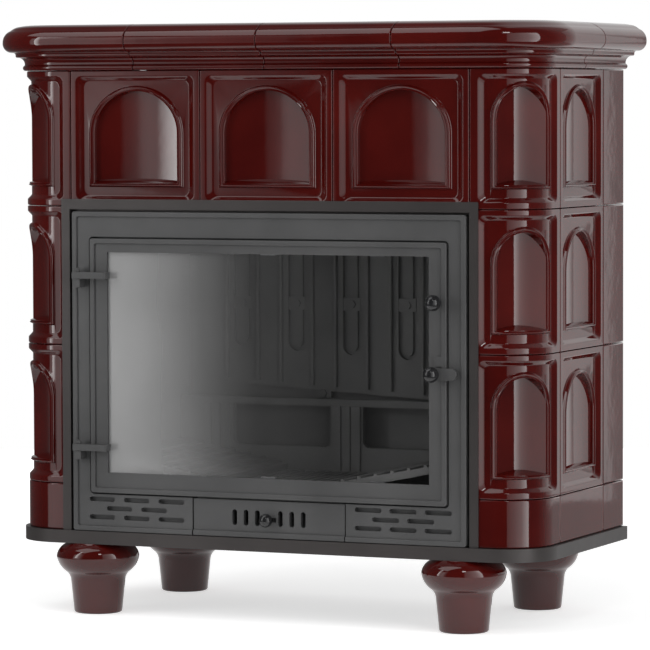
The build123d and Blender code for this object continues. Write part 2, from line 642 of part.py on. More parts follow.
# ---------------------------------------------------------------- door
def door():
    """The glazed door with its glass, gasket, clips, hinge arms and pins."""
    half, back = DOOR_W / 2, 8.0
    field = DOOR_FRONT + LIP_H
    z = (DOOR_Z, DOOR_TOP)
    frame = rounded(half, (field, back), z, LIP_CORNER) + lip(half, z, (DOOR_FRONT, field))
    frame = frame - block((-GLASS_HALF, GLASS_HALF), (-9, 20), GLASS_Z)
    rebate = (GLASS_Z[0] - 7, GLASS_Z[1] + 7)
    frame = frame - block((-GLASS_HALF - 7, GLASS_HALF + 7), (2, 20), rebate)
    frame = frame + block((LATCH_X - 2, LATCH_X + 10), (field - 3, field + 1), (LATCH_Z + 11, LATCH_Z + 26))
    frame = frame - rod(LATCH_X, 0, LATCH_Z, STEM_R + 0.05, 40, "Y")
    save(frame, "door_frame")
    glass_z = (rebate[0] + 1, rebate[1] - 1)
    save(block((-GLASS_HALF - 6, GLASS_HALF + 6), (2, 2 + GLASS_T), glass_z), "door_glass")
    save(frame_ring(half - 2, (z[0] + 2, z[1] - 2), 6.0, (back, 11.7)), "door_gasket")

    clips = []
    for x in (-180, 0, 180):
        for clip_z, outer in ((GLASS_Z[0] - 4, -1), (GLASS_Z[1] + 4, 1)):
            low = clip_z - 8 if outer < 0 else clip_z - 6
            tab_z = clip_z - outer * 3
            clip = block((x - 12, x + 12), (back, back + 2), (low, low + 14))
            clip = clip + block((x - 12, x + 12), (2 + GLASS_T, back + 0.2), (tab_z - 2, tab_z + 2))
            clips.append(clip + rod(x, back + 3, low + 7, 3.5, 3, "Y"))
    save(Compound(children=clips), "glass_clips")
    hinges(field)


def hinges(field):
    """Two hinge arms on the door, and the pins that they turn on."""
    arm_tip, foot_x = -262.0, -287.0
    head_r, head_h = 3.9, 2.0
    arms, pins = [], []
    for middle in HINGE_Z:
        arm_z = (middle - ARM_HALF, middle + ARM_HALF)
        bar = block((HINGE_X - ARM_END, arm_tip), (HINGE_Y - ARM_HALF, HINGE_Y + ARM_HALF), arm_z)
        bar = fillet(bar.edges().filter_by(Axis.Z), 2.5)
        bar = bar + block((foot_x, arm_tip), (HINGE_Y, field), arm_z)
        bar = bar - rod(HINGE_X, HINGE_Y, middle, PIN_R + 0.06, 20)
        arms.append(bar)
        pin = rod(HINGE_X, HINGE_Y, middle - 6.5, PIN_R, 25)
        head_z = middle + 6 + head_h / 2
        head = rod(HINGE_X, HINGE_Y, head_z, head_r, head_h)
        dome = Sphere(head_r) & Pos(0, 0, head_r) * Box(4 * head_r, 4 * head_r, 2 * head_r)
        pins.append(pin + head + Pos(HINGE_X, FACE_Y + HINGE_Y, head_z + head_h / 2) * dome)
    save(Compound(children=arms), "hinge_arms")
    save(Compound(children=pins), "hinge_pins")


def knobs():
    """The fixed pull knob, and the latch lever with its ball, shaft and washer."""
    field = DOOR_FRONT + LIP_H
    knob = Pos(KNOB_X, FACE_Y + field - 9 - BALL_R, KNOB_Z) * Sphere(BALL_R)
    knob = knob + rod(KNOB_X, field - 6, KNOB_Z, 4.5, 12, "Y")
    save(knob, "door_knob")

    lever_half, lever_len, collar_r = 9.0, 27.0, 5.3
    bar_y = (field - 11, field - 6)
    middle, bar_t = sum(bar_y) / 2, bar_y[1] - bar_y[0]
    tip = LATCH_X + lever_len
    bar = block((LATCH_X, tip), bar_y, (LATCH_Z - lever_half, LATCH_Z + lever_half))
    for x in (LATCH_X, tip):
        bar = bar + rod(x, middle, LATCH_Z, lever_half, bar_t, "Y")
    collar_y = (bar_y[1] - 1, field - 0.3)
    bar = bar + rod(LATCH_X, sum(collar_y) / 2, LATCH_Z, collar_r, collar_y[1] - collar_y[0], "Y")
    bar = bar - rod(LATCH_X, 0, LATCH_Z, STEM_R, 60, "Y")
    save(bar, "latch_lever")
    shaft_y = (bar_y[0] - 3, 14)
    shaft = rod(LATCH_X, sum(shaft_y) / 2, LATCH_Z, STEM_R, shaft_y[1] - shaft_y[0], "Y")
    shaft = shaft + rod(LATCH_X, 10, LATCH_Z, collar_r, 3, "Y")
    save(shaft, "latch_shaft")
    ball = Pos(LATCH_X, FACE_Y + bar_y[0] - BALL_R + 0.5, LATCH_Z) * Sphere(BALL_R)
    ball = ball - block((LATCH_X - 20, LATCH_X + 20), (bar_y[0], 20), (LATCH_Z - 20, LATCH_Z + 20))
    ball = ball - rod(LATCH_X, 0, LATCH_Z, STEM_R, 2 * (3 - bar_y[0]), "Y")
    save(ball, "latch_ball")


base()
feet()
tiles()
cornice()
casing_steel()
insert_front()
firebox()
flue()
ash_drawer()
door()
knobs()
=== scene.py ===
"""A tiled stove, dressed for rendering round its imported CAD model.

Metres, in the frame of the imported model: +X is to the right of someone who faces the stove,
the fire door faces -Y, +Z is up and the origin is on the floor under the middle.
"""

import logging
import math
from dataclasses import dataclass, field
from enum import Enum
from typing import Callable, Iterable, Sequence

import bmesh
import bpy
from bpy.types import Material, Node, NodeSocket, NodeTree, Object
from mathutils import Matrix, Vector


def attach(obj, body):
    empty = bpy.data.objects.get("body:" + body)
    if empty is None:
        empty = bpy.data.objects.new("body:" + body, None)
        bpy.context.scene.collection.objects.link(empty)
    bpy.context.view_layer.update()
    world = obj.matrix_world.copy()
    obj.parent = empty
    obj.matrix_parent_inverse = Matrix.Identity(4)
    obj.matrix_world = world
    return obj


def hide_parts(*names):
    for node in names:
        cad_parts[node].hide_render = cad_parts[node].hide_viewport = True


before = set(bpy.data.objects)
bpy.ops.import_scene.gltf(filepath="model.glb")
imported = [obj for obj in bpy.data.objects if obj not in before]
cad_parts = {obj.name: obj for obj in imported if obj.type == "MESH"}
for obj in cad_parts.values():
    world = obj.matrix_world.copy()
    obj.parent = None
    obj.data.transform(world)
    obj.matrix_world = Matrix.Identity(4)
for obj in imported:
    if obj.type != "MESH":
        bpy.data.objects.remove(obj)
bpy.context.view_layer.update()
LOG = logging.getLogger("tiled_stove")

MM = 0.001
TOUCH = 0.01 * MM
FACE_Y = -185.25 * MM
BASE_Z = 130 * MM
ROW_Z = (202 * MM, 416 * MM, 630 * MM)
CORNICE_Z = 838 * MM
HALF_W = 434 * MM
DEPTH = 382 * MM
CORNER_R = 73 * MM
CORNER_END = 104 * MM
ARC_X = HALF_W - CORNER_R
TILE_W = 220 * MM
SIDE_W = 186.5 * MM
SIDE_MIDDLE = CORNER_END + SIDE_W / 2
TILE_DEPTH = 46 * MM
TILE_EDGE = 2.2 * MM
TILE_GAP = 0.35 * MM

Point = tuple[float, float, float]


class Named(Enum):
    """Names as the nodes have them."""

    @property
    def word(self) -> str:
        """The name in small letters."""
        return self.name.lower()


class Side(Named):
    """Which side of the stove a piece is on."""

    LEFT = -1
    RIGHT = 1

    @property
    def mirror(self) -> Matrix:
        """A mirror image on the left, no change on the right."""
        return Matrix.Diagonal((self.value, 1, 1, 1))


class Row(Named):
    """The rows of relief tiles, from the plinth up: low edge and height."""

    BOTTOM = (ROW_Z[0], 214 * MM)
    MIDDLE = (ROW_Z[1], 214 * MM)
    TOP = (ROW_Z[2], 208 * MM)


# ---------------- modelling by hand
class Bench:
    """The modelling moves that every new piece is made with."""

    @staticmethod
    def clear() -> None:
        """Leaves nothing selected, in object mode."""
        if bpy.context.object and bpy.context.object.mode != "OBJECT":
            Bench.close()
        bpy.ops.object.select_all(action="DESELECT")

    @staticmethod
    def close() -> None:
        """Goes back to object mode."""
        bpy.ops.object.mode_set(mode="OBJECT")

    @staticmethod
    def all() -> None:
        """Selects the whole of the open mesh."""
        bpy.ops.mesh.select_all(action="SELECT")

    @staticmethod
    def hold(obj: Object) -> None:
        """Makes one object the only selected and active one.

        Args:
            obj: the object to hold.
        """
        Bench.clear()
        obj.select_set(True)
        bpy.context.view_layer.objects.active = obj

    @staticmethod
    def edit(obj: Object) -> None:
        """Opens an object in edit mode, vertices to be picked.

        Args:
            obj: the object to open.
        """
        Bench.hold(obj)
        bpy.ops.object.mode_set(mode="EDIT")
        bpy.ops.mesh.select_mode(type="VERT")

    @staticmethod
    def select(wanted: Callable[[bmesh.types.BMVert], bool]) -> None:
        """Selects the vertices of the open mesh that pass a test, and no others.

        Args:
            wanted: says of a vertex whether it is wanted.
        """
        bpy.ops.mesh.select_all(action="DESELECT")
        data = bpy.context.object.data
        mesh = bmesh.from_edit_mesh(data)
        mesh.verts.index_update()
        for vert in mesh.verts:
            if wanted(vert):
                vert.select_set(True)
        mesh.select_flush_mode()
        bmesh.update_edit_mesh(data)

    @staticmethod
    def pick(test: Callable[[Vector], bool]) -> None:
        """Selects the vertices whose place passes a test."""
        Bench.select(lambda vert: test(vert.co))

    @staticmethod
    def pull(offset: Sequence[float]) -> None:
        """Extrudes the selected edges by an offset."""
        bpy.ops.mesh.extrude_edges_move(TRANSFORM_OT_translate={"value": tuple(offset)})

    @staticmethod
    def settle(obj: Object) -> Object:
        """Puts an object's place, turn and size into its mesh.

        Args:
            obj: the object to settle.

        Returns:
            The same object.
        """
        Bench.hold(obj)
        bpy.ops.object.transform_apply(location=True, rotation=True, scale=True)
        return obj

    @staticmethod
    def face_out(obj: Object) -> None:
        """Merges doubles and turns every face outwards.

        Args:
            obj: the object to change.
        """
        Bench.edit(obj)
        Bench.all()
        bpy.ops.mesh.remove_doubles(threshold=TOUCH)
        bpy.ops.mesh.normals_make_consistent(inside=False)
        Bench.close()

    @staticmethod
    def apply(obj: Object, kind: str, **settings: object) -> None:
        """Adds one modifier with its settings and applies it.

        Args:
            obj: the object to change.
            kind: the modifier's type.
            settings: the modifier's own fields.
        """
        Bench.hold(obj)
        modifier = obj.modifiers.new(kind.title(), kind)
        for name, value in settings.items():
            setattr(modifier, name, value)
        bpy.ops.object.modifier_apply(modifier=modifier.name)

    @staticmethod
    def carve(obj: Object, other: Object, how: str) -> None:
        """Uses up another object to add to one, or to cut it: UNION or DIFFERENCE."""
        Bench.apply(obj, "BOOLEAN", object=other, operation=how, solver="EXACT")
        Bench.drop(other)

    @staticmethod
    def smooth(obj: Object, degrees: float = 38.0) -> None:
        """Shades an object smooth, with flat faces kept flat.

        Args:
            obj: the object to shade.
            degrees: the sharpest edge that is smoothed.
        """
        Bench.hold(obj)
        bpy.ops.object.shade_smooth_by_angle(angle=math.radians(degrees))
        Bench.apply(obj, "WEIGHTED_NORMAL", keep_sharp=True, weight=60)

    @staticmethod
    def copy(obj: Object, name: str, place: Matrix) -> Object:
        """Copies an object with a mesh of its own.

        Args:
            obj: the object to copy.
            name: the copy's name.
            place: a turn and move that goes into the copy's mesh.

        Returns:
            The copy.
        """
        Bench.hold(obj)
        bpy.ops.object.duplicate(linked=False)
        twin = bpy.context.object
        twin.name = twin.data.name = name
        twin.matrix_world = place
        Bench.settle(twin)
        if place.determinant() < 0:
            Bench.edit(twin)
            Bench.all()
            bpy.ops.mesh.normals_make_consistent(inside=False)
            Bench.close()
            Bench.smooth(twin)
        return twin

    @staticmethod
    def drop(obj: Object) -> None:
        """Removes a pattern object once its copies are made."""
        Bench.hold(obj)
        bpy.ops.object.delete()


class Pen:
    """Draws an outline by extruding one vertex from point to point."""

    def __init__(self, first: Point) -> None:
        """Starts an outline.

        Args:
            first: its first point.
        """
        Bench.clear()
        bpy.ops.mesh.primitive_plane_add(size=0.001, location=first)
        self.obj = Bench.settle(bpy.context.object)
        Bench.edit(self.obj)
        Bench.all()
        bpy.ops.mesh.merge(type="CENTER")
        self.here = Vector(first)

    def line(self, points: Iterable[Point]) -> "Pen":
        """Goes on through more points.

        Args:
            points: the points, in order.

        Returns:
            The pen itself.
        """
        for point in points:
            step = Vector(point) - self.here
            if step.length > TOUCH:
                move = {"value": tuple(step)}
                bpy.ops.mesh.extrude_vertices_move(TRANSFORM_OT_translate=move)
                self.here = Vector(point)
        return self


def arc(a: tuple, b: tuple, c: tuple, count: int) -> list[tuple[float, float]]:
    """Points on the round arc from a through b to c, without a itself.

    Args:
        a: the first point, two numbers.
        b: a point on the arc.
        c: the last point.
        count: how many points to give.

    Returns:
        The points in order.
    """
    (ax, ay), (bx, by), (cx, cy) = a, b, c
    a2, b2, c2 = ax**2 + ay**2, bx**2 + by**2, cx**2 + cy**2
    d = 2 * (ax * (by - cy) + bx * (cy - ay) + cx * (ay - by))
    ux = (a2 * (by - cy) + b2 * (cy - ay) + c2 * (ay - by)) / d
    uy = (a2 * (cx - bx) + b2 * (ax - cx) + c2 * (bx - ax)) / d
    radius = math.hypot(ax - ux, ay - uy)
    start, middle, end = (math.atan2(y - uy, x - ux) for x, y in (a, b, c))
    turn = (end - start) % math.tau
    if (middle - start) % math.tau > turn:
        turn -= math.tau
    angles = [start + turn * (i + 1) / count for i in range(count)]
    return [(ux + radius * math.cos(t), uy + radius * math.sin(t)) for t in angles]


def profile(first: tuple, *legs: tuple) -> list[tuple[float, float]]:
    """The points of a turned or drawn profile.

    Args:
        first: the first point, two numbers.
        legs: each a point to go straight to, or the rest of an arc: b, c and count.

    Returns:
        The points in order.
    """
    points = [first]
    for leg in legs:
        points += [leg] if len(leg) == 2 else arc(points[-1], *leg)
    return points


# ---------------- finishes
class Nodes:
    """Short moves for building a node tree."""

    def __init__(self, tree: NodeTree) -> None:
        """Works in one tree."""
        self.tree = tree

    def add(self, kind: str, *inputs: object, **fields: object) -> Node:
        """Adds a node.

        Args:
            kind: its type, without the ShaderNode in front.
            inputs: for each input in order a socket to join or a value to set, or None.
            fields: the node's own fields.

        Returns:
            The node.
        """
        node = self.tree.nodes.new("ShaderNode" + kind)
        for name, value in fields.items():
            setattr(node, name, value)
        for socket, value in zip(node.inputs, inputs):
            if isinstance(value, NodeSocket):
                self.tree.links.new(value, socket)
            elif value is not None:
                socket.default_value = value
        return node

    def calc(self, operation: str, *values: object) -> NodeSocket:
        """Works out an operation on sockets or numbers."""
        return self.add("Math", *values, operation=operation).outputs[0]

    def span(
        self, value: NodeSocket, old: tuple, new: tuple, smooth: bool = False
    ) -> NodeSocket:
        """Maps a value from an old range into a new one, gently at both ends if smooth."""
        how = "SMOOTHSTEP" if smooth else "LINEAR"
        return self.add("MapRange", value, *old, *new, interpolation_type=how).outputs[0]

    def ramp(self, factor: NodeSocket, stops: Sequence[tuple]) -> NodeSocket:
        """Colours a factor.

        Args:
            factor: the value from 0 to 1.
            stops: pairs of position and colour.

        Returns:
            The colour.
        """
        node = self.add("ValToRGB", factor)
        while len(node.color_ramp.elements) < len(stops):
            node.color_ramp.elements.new(0.5)
        for element, (position, colour) in zip(node.color_ramp.elements, stops):
            element.position = position
            element.color = (*colour, 1)
        return node.outputs[0]

    def seen(self, *kinds: str) -> NodeSocket:
        """Tells whether a ray is of one of some kinds.

        Args:
            kinds: outputs of the Light Path node.

        Returns:
            A value that is 1 for those rays and 0 for the rest.
        """
        path = self.add("LightPath")
        found = path.outputs[kinds[0]]
        for kind in kinds[1:]:
            found = self.calc("MAXIMUM", found, path.outputs[kind])
        return found

    def mix(
        self, share: NodeSocket, low: Node, high: Node
    ) -> Node:
        """Mixes two shaders, all the first at share 0 and all the second at share 1."""
        return self.add("MixShader", share, low.outputs[0], high.outputs[0])


class Shader(Nodes):
    """A node material in the making, on Object coordinates."""

    def __init__(self, name: str) -> None:
        """Starts a material with a Principled shader.

        Args:
            name: the material's name.
        """
        self.material = bpy.data.materials.new(name)
        self.material.use_nodes = True
        super().__init__(self.material.node_tree)
        self.tree.nodes.clear()
        self.out = self.add("OutputMaterial")
        self.bsdf = self.add("BsdfPrincipled")
        self.show(self.bsdf)
        self.place = self.add("TexCoord").outputs["Object"]

    def show(self, node: Node) -> None:
        """Joins a shader to the material's output."""
        self.tree.links.new(node.outputs[0], self.out.inputs[0])

    def set(self, **values: object) -> None:
        """Sets the Principled shader's own sockets; an underscore stands for a space."""
        for name, value in values.items():
            self.bsdf.inputs[name.replace("_", " ")].default_value = value

    def noise(self, scale: float, detail: float) -> NodeSocket:
        """A noise pattern.

        Args:
            scale: how many blobs to a metre.
            detail: how many finer octaves.

        Returns:
            The noise's factor.
        """
        node = self.add("TexNoise", self.add("Mapping", self.place).outputs[0])
        node.inputs["Scale"].default_value = scale
        node.inputs["Detail"].default_value = detail
        return node.outputs["Fac"]

    def link(self, socket: NodeSocket, name: str) -> None:
        """Joins a value to one of the Principled shader's sockets."""
        self.tree.links.new(socket, self.bsdf.inputs[name])

    def colour(self, scale: float, detail: float, *stops: tuple) -> None:
        """Colours the surface by a noise pattern, from its scale, detail and stops."""
        self.link(self.ramp(self.noise(scale, detail), stops), "Base Color")

    def rough(self, scale: float, detail: float, low: float, high: float) -> None:
        """Varies the roughness by a noise pattern, from low to high."""
        self.link(self.span(self.noise(scale, detail), (0.0, 1.0), (low, high)), "Roughness")

    def glow_to_camera(self, amount: float, near: float, far: float) -> None:
        """Lifts the floor towards white where the camera, gloss or glass sees it, shadows kept.

        Gloss sees the floor only near the stove; farther off it sees what stands behind it.

        Args:
            amount: what is added near the stove, where 1 is white.
            near: distance from the stove's middle up to which that holds.
            far: distance from which on the floor is white.
        """
        distance = self.add("VectorMath", self.place, operation="LENGTH").outputs["Value"]
        lift = self.span(distance, (near, far), (amount, 1.0), smooth=True)
        seen = self.seen("Is Camera Ray", "Is Glossy Ray", "Is Transmission Ray")
        glow = self.add("Emission", None, self.calc("MULTIPLY", seen, lift))
        both = self.add("AddShader", self.bsdf.outputs[0], glow.outputs[0])
        lost = self.span(distance, (0.75 * near, 1.25 * near), (0.0, 1.0), smooth=True)
        share = self.calc("MULTIPLY", lost, self.seen("Is Glossy Ray"))
        self.show(self.mix(share, both, self.add("BsdfTransparent")))

    def bump(self, scale: float, detail: float, strength: float, distance: float) -> None:
        """Adds a noise bump on top of the ones already there.

        Args:
            scale: how many blobs to a metre.
            detail: how many finer octaves.
            strength: from 0 to 1.
            distance: the height in metres.
        """
        node = self.add("Bump")
        node.inputs["Strength"].default_value = strength
        node.inputs["Distance"].default_value = distance
        self.tree.links.new(self.noise(scale, detail), node.inputs["Height"])
        normal = self.bsdf.inputs["Normal"]
        if normal.is_linked:
            self.tree.links.new(normal.links[0].from_socket, node.inputs["Normal"])
        self.tree.links.new(node.outputs[0], normal)


@dataclass(frozen=True)
class Glaze:
    """Deep oxblood glaze: thin and warm where it ran off, nearly black where it pooled."""

    name: str = "oxblood_glaze"
    thin: tuple = (0.078, 0.0046, 0.0032)
    deep: tuple = (0.048, 0.0020, 0.0015)
    roughness: tuple = (0.035, 0.075)

    def make(self) -> Material:
        """Makes the material.

        Returns:
            The material.
        """
        shader = Shader(self.name)
        shader.colour(7.0, 4.0, (0.32, self.deep), (0.72, self.thin))
        shader.rough(60.0, 2.0, *self.roughness)
        shader.set(IOR=1.52, Specular_IOR_Level=0.5)
        shader.bump(26.0, 2.0, strength=0.25, distance=0.0006)
        shader.bump(220.0, 2.0, strength=0.10, distance=0.00012)
        return shader.material


@dataclass(frozen=True)
class CastIron:
    """Cast iron under satin stove paint, with the fine grain of its sand mould."""

    name: str = "stove_iron"
    light: tuple = (0.098, 0.098, 0.099)
    dark: tuple = (0.072, 0.072, 0.073)
    roughness: tuple = (0.42, 0.60)
    metallic: float = 0.25
    grain: float = 0.35

    def make(self) -> Material:
        """Makes the material.

        Returns:
            The material.
        """
        shader = Shader(self.name)
        shader.colour(9.0, 5.0, (0.3, self.dark), (0.7, self.light))
        shader.rough(35.0, 4.0, *self.roughness)
        shader.set(Metallic=self.metallic)
        shader.bump(900.0, 3.0, strength=self.grain, distance=0.00025)
        shader.bump(120.0, 3.0, strength=0.15, distance=0.0003)
        return shader.material


@dataclass(frozen=True)
class Lacquer:
    """Black gloss of the ball knobs, with faint wear."""

    name: str = "knob_black"
    base: tuple = (0.012, 0.012, 0.013)

    def make(self) -> Material:
        """Makes the material.

        Returns:
            The material.
        """
        shader = Shader(self.name)
        worn = tuple(2.2 * c for c in self.base)
        shader.colour(180.0, 3.0, (0.45, self.base), (0.8, worn))
        shader.rough(250.0, 2.0, 0.05, 0.16)
        shader.set(IOR=1.5)
        return shader.material


@dataclass(frozen=True)
class GlassRope:
    """Woven rope seal round the door."""

    name: str = "rope_seal"

    def make(self) -> Material:
        """Makes the material.

        Returns:
            The material.
        """
        shader = Shader(self.name)
        shader.colour(700.0, 2.0, (0.35, (0.05,) * 3), (0.65, (0.12,) * 3))
        shader.set(Roughness=0.9)
        shader.bump(700.0, 2.0, strength=0.8, distance=0.0006)
        return shader.material


@dataclass(frozen=True)
class StoveGlass:
    """Clear ceramic glass with a painted reflection: a pale film that fades out away from the
    hinge.
    """

    name: str = "stove_glass"
    film: tuple = (0.62, 0.62, 0.62)
    clear: tuple = (0.93, 0.93, 0.93, 1)
    dusty_x: float = -0.29
    clean_x: float = 0.0
    most: float = 0.55
    mirror: float = 1.9
    ior: float = 1.5
    roughness: float = 0.03

    def make(self) -> Material:
        """Makes the material: a pane mirrors on the face met first, and is clear behind it.

        Returns:
            The material.
        """
        shader = Shader(self.name)
        shader.set(IOR=self.ior, Roughness=self.roughness)
        # Painted reflection: a pale diffuse film laid over the pane, strongest at the hinge side
        # and gone by the middle.
        thin = tuple(0.8 * c for c in self.film)
        shader.colour(9.0, 1.0, (0.2, thin), (0.8, self.film))
        x = shader.add("SeparateXYZ", shader.place).outputs["X"]
        painted_reflection = shader.span(x, (self.dusty_x, self.clean_x), (self.most, 0.0), smooth=True)
        sheen = shader.calc("MULTIPLY", shader.add("Fresnel", self.ior).outputs[0], self.mirror)
        front = shader.calc("SUBTRACT", 1.0, shader.add("NewGeometry").outputs["Backfacing"])
        pane = shader.add("BsdfTransparent", self.clear)
        gloss = shader.add("BsdfGlossy", None, self.roughness)
        for amount, cover in ((sheen, gloss), (painted_reflection, shader.bsdf)):
            share = shader.add("Math", amount, front, operation="MULTIPLY", use_clamp=True)
            pane = shader.mix(share.outputs[0], pane, cover)
        shader.show(pane)
        return shader.material


class Finish(Enum):
    """Every finish on the stove, with the record's slot that it belongs to."""

    GLAZE = (Glaze(), "glaze")
    IRON = (CastIron(), "cast_iron")
    FIRE_IRON = (
        CastIron("fire_iron", (0.24, 0.24, 0.238), (0.18, 0.18, 0.179), (0.5, 0.7), 0.1, 0.05),
        "cast_iron",
    )
    STEEL = (
        CastIron("trim_steel", (0.06, 0.053, 0.052), (0.046, 0.041, 0.04), (0.38, 0.5), 0.4, 0.08),
        "dark_steel",
    )
    BOLT = (
        CastIron("bolt_steel", (0.30, 0.30, 0.31), (0.20, 0.20, 0.21), (0.3, 0.45), 0.9, 0.1),
        "bolt_steel",
    )
    KNOB = (Lacquer(), "knob")
    ROPE = (GlassRope(), "gasket")
    GLASS = (StoveGlass(), "glass")

    def material(self) -> Material:
        """The material, made at its first use."""
        maker, _ = self.value
        return bpy.data.materials.get(maker.name) or maker.make()

    def dress(self, obj: Object) -> None:
        """Puts the finish on an object."""
        obj.data.materials.clear()
        obj.data.materials.append(self.material())


@dataclass
class SubAssembly:
    """A group of pieces that ride on one body."""

    body: str = "stove"

    def finish_piece(self, obj: Object, finish: Finish, *nodes: str) -> None:
        """Dresses a new piece, lets it ride on its body and stand for its CAD nodes.

        Args:
            obj: the new piece.
            finish: its finish.
            nodes: the CAD nodes that it stands for.
        """
        finish.dress(obj)
        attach(obj, self.body)
        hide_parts(*nodes)
        LOG.info("%s: %d faces for %s", obj.name, len(obj.data.polygons), ", ".join(nodes))

    def glazed(self, pattern: Object, node: str, place: Matrix) -> None:
        """Puts a glazed copy of a pattern in the place of a CAD node."""
        copy = Bench.copy(pattern, "glazed_" + node.replace("_tile", ""), place)
        self.finish_piece(copy, Finish.GLAZE, node)

    def pair(
        self, pattern: Object, stem: str, place: Callable[[Side], Matrix]
    ) -> None:
        """Puts a glazed copy of a pattern on both sides, and removes the pattern.

        Args:
            pattern: the piece to copy.
            stem: the CAD nodes' name without the side.
            place: gives the place on a side.
        """
        for side in Side:
            self.glazed(pattern, f"{stem}_{side.word}", place(side))
        Bench.drop(pattern)


# ---------------- relief tiles
@dataclass
class ReliefTile:
    """A tile with a border, a sunk panel, and a niche in an arched moulding.

    It is modelled flat, its face on y = 0 and its foot on z = 0, and bent afterwards if it
    turns the corner. Sizes along z are above the tile's foot.
    """

    width: tuple[float, float]
    height: float
    panel_half: float
    arch_half: float
    spring: float
    rise: float
    depth: float = TILE_DEPTH
    border_low: float = 9 * MM
    border_high: float = 8 * MM
    step_x: float = 12 * MM
    step_z: float = 8.5 * MM
    panel_y: float = 6.5 * MM
    sill_z: float = 29.5 * MM
    niche_depth: float = 12 * MM
    niche_bow: float = 6 * MM
    niche_shift: float = 0.0
    sill_slope: float = 27.0
    edge: float = TILE_EDGE
    mould: tuple = (
        (1.0, 5.9), (2.0, 4.4), (3.0, 2.9), (4.0, 2.1), (5.0, 1.9), (6.0, 2.3), (7.0, 3.1),
        (7.9, 3.5), (8.7, 3.1), (9.4, 2.7), (10.1, 2.9), (10.8, 3.8), (11.3, 5.4),
    )
    mouth: tuple = field(default=(), init=False)

    def build(self) -> Object:
        """Models the tile.

        Returns:
            The tile's object, flat and unplaced.
        """
        self.draw_arch()
        self.draw_moulding_and_niche()
        self.draw_panel_and_border()
        self.close_faces()
        Bench.close()
        obj = bpy.context.object
        Bench.face_out(obj)
        Bench.carve(obj, self.niche_back(), "UNION")
        return obj

    def draw_arch(self) -> None:
        """Draws the moulding's outer foot: a round head on two straight sides and a sill."""
        Bench.clear()
        bpy.ops.mesh.primitive_circle_add(
            vertices=76, radius=self.arch_half, fill_type="NOTHING",
            location=(0, self.panel_y, self.spring), rotation=(math.pi / 2, 0, 0),
        )
        Bench.edit(Bench.settle(bpy.context.object))
        Bench.pick(lambda p: p.z < self.spring - TOUCH)
        bpy.ops.mesh.delete(type="VERT")
        Bench.all()
        bpy.ops.transform.resize(
            value=(1, 1, self.rise / self.arch_half),
            center_override=(0, self.panel_y, self.spring),
        )
        Bench.pick(lambda p: p.z < self.spring + TOUCH)
        drop = {"value": (0, 0, self.sill_z - self.spring)}
        bpy.ops.mesh.extrude_vertices_move(TRANSFORM_OT_translate=drop)
        bpy.ops.mesh.edge_face_add()
        Bench.all()

    def ring_step(self, old: tuple, new: tuple) -> None:
        """Extrudes the arch's selected ring to its next size.

        Args:
            old: half width, rise, sill and depth of the last ring.
            new: the same of the next ring.
        """
        Bench.pull((0, new[3] - old[3], 0))
        factor = new[1] / old[1]
        bpy.ops.transform.resize(
            value=(new[0] / old[0], 1, factor), center_override=(0, new[3], self.spring)
        )
        mesh = bmesh.from_edit_mesh(bpy.context.object.data)
        mesh.verts.index_update()
        ring = {vert.index for vert in mesh.verts if vert.select}
        Bench.select(lambda vert: vert.index in ring and vert.co.z < self.spring - TOUCH)
        now = self.spring - (self.spring - old[2]) * factor
        bpy.ops.transform.translate(value=(0, 0, new[2] - now))
        Bench.select(lambda vert: vert.index in ring)

    def draw_moulding_and_niche(self) -> None:
        """Extrudes the moulding's rings and then the niche's, and closes the niche."""
        head, foot, beyond = 0.78, 0.62, 2 * MM
        now = (self.arch_half, self.rise, self.sill_z, self.panel_y)
        for inward, y in self.mould:
            inward *= MM
            sizes = (self.arch_half - inward, self.rise - head * inward)
            ring = (*sizes, self.sill_z + foot * inward, y * MM)
            self.ring_step(now, ring)
            now = ring
        self.mouth = now
        self.ring_step(now, (*now[:3], now[3] + self.niche_depth + beyond))
        bpy.ops.mesh.edge_face_add()

    def niche_back(self) -> Object:
        """Models the niche's back as a filler: a bowed wall that stands on a rising sill.

        Returns:
            The filler, to be joined with the tile.
        """
        half, rise, sill, mouth = self.mouth
        high, margin = self.spring + rise, 3 * MM
        middle = (sill + high) / 2
        radius = (half**2 + self.niche_bow**2) / (2 * self.niche_bow)
        back = self.depth - 6 * MM
        Bench.clear()
        size = (2 * (half + margin), back - mouth, high - sill + 2 * margin)
        bpy.ops.mesh.primitive_cube_add(
            size=1, location=(0, (mouth + back) / 2, middle), scale=size
        )
        wall = Bench.settle(bpy.context.object)
        bpy.ops.mesh.primitive_cylinder_add(
            vertices=720, radius=radius, depth=2 * size[2],
            location=(self.niche_shift, mouth + self.niche_depth - radius, middle),
        )
        Bench.carve(wall, Bench.settle(bpy.context.object), "DIFFERENCE")
        length = 40 * MM
        bpy.ops.mesh.primitive_cube_add(
            size=1, location=(0, length / 2, -length / 2), scale=(size[0], length, length)
        )
        ledge = Bench.settle(bpy.context.object)
        ledge.rotation_euler.x = math.radians(self.sill_slope)
        ledge.location = (0, mouth, sill)
        Bench.settle(ledge)
        Bench.edit(ledge)
        ends = (
            ((0, mouth, 0), (0, -1, 0)), ((0, back, 0), (0, 1, 0)),
            ((0, 0, sill - margin), (0, 0, -1)),
        )
        for point, away in ends:
            Bench.all()
            bpy.ops.mesh.bisect(plane_co=point, plane_no=away, clear_outer=True, use_fill=True)
        Bench.close()
        Bench.carve(wall, ledge, "UNION")
        return wall

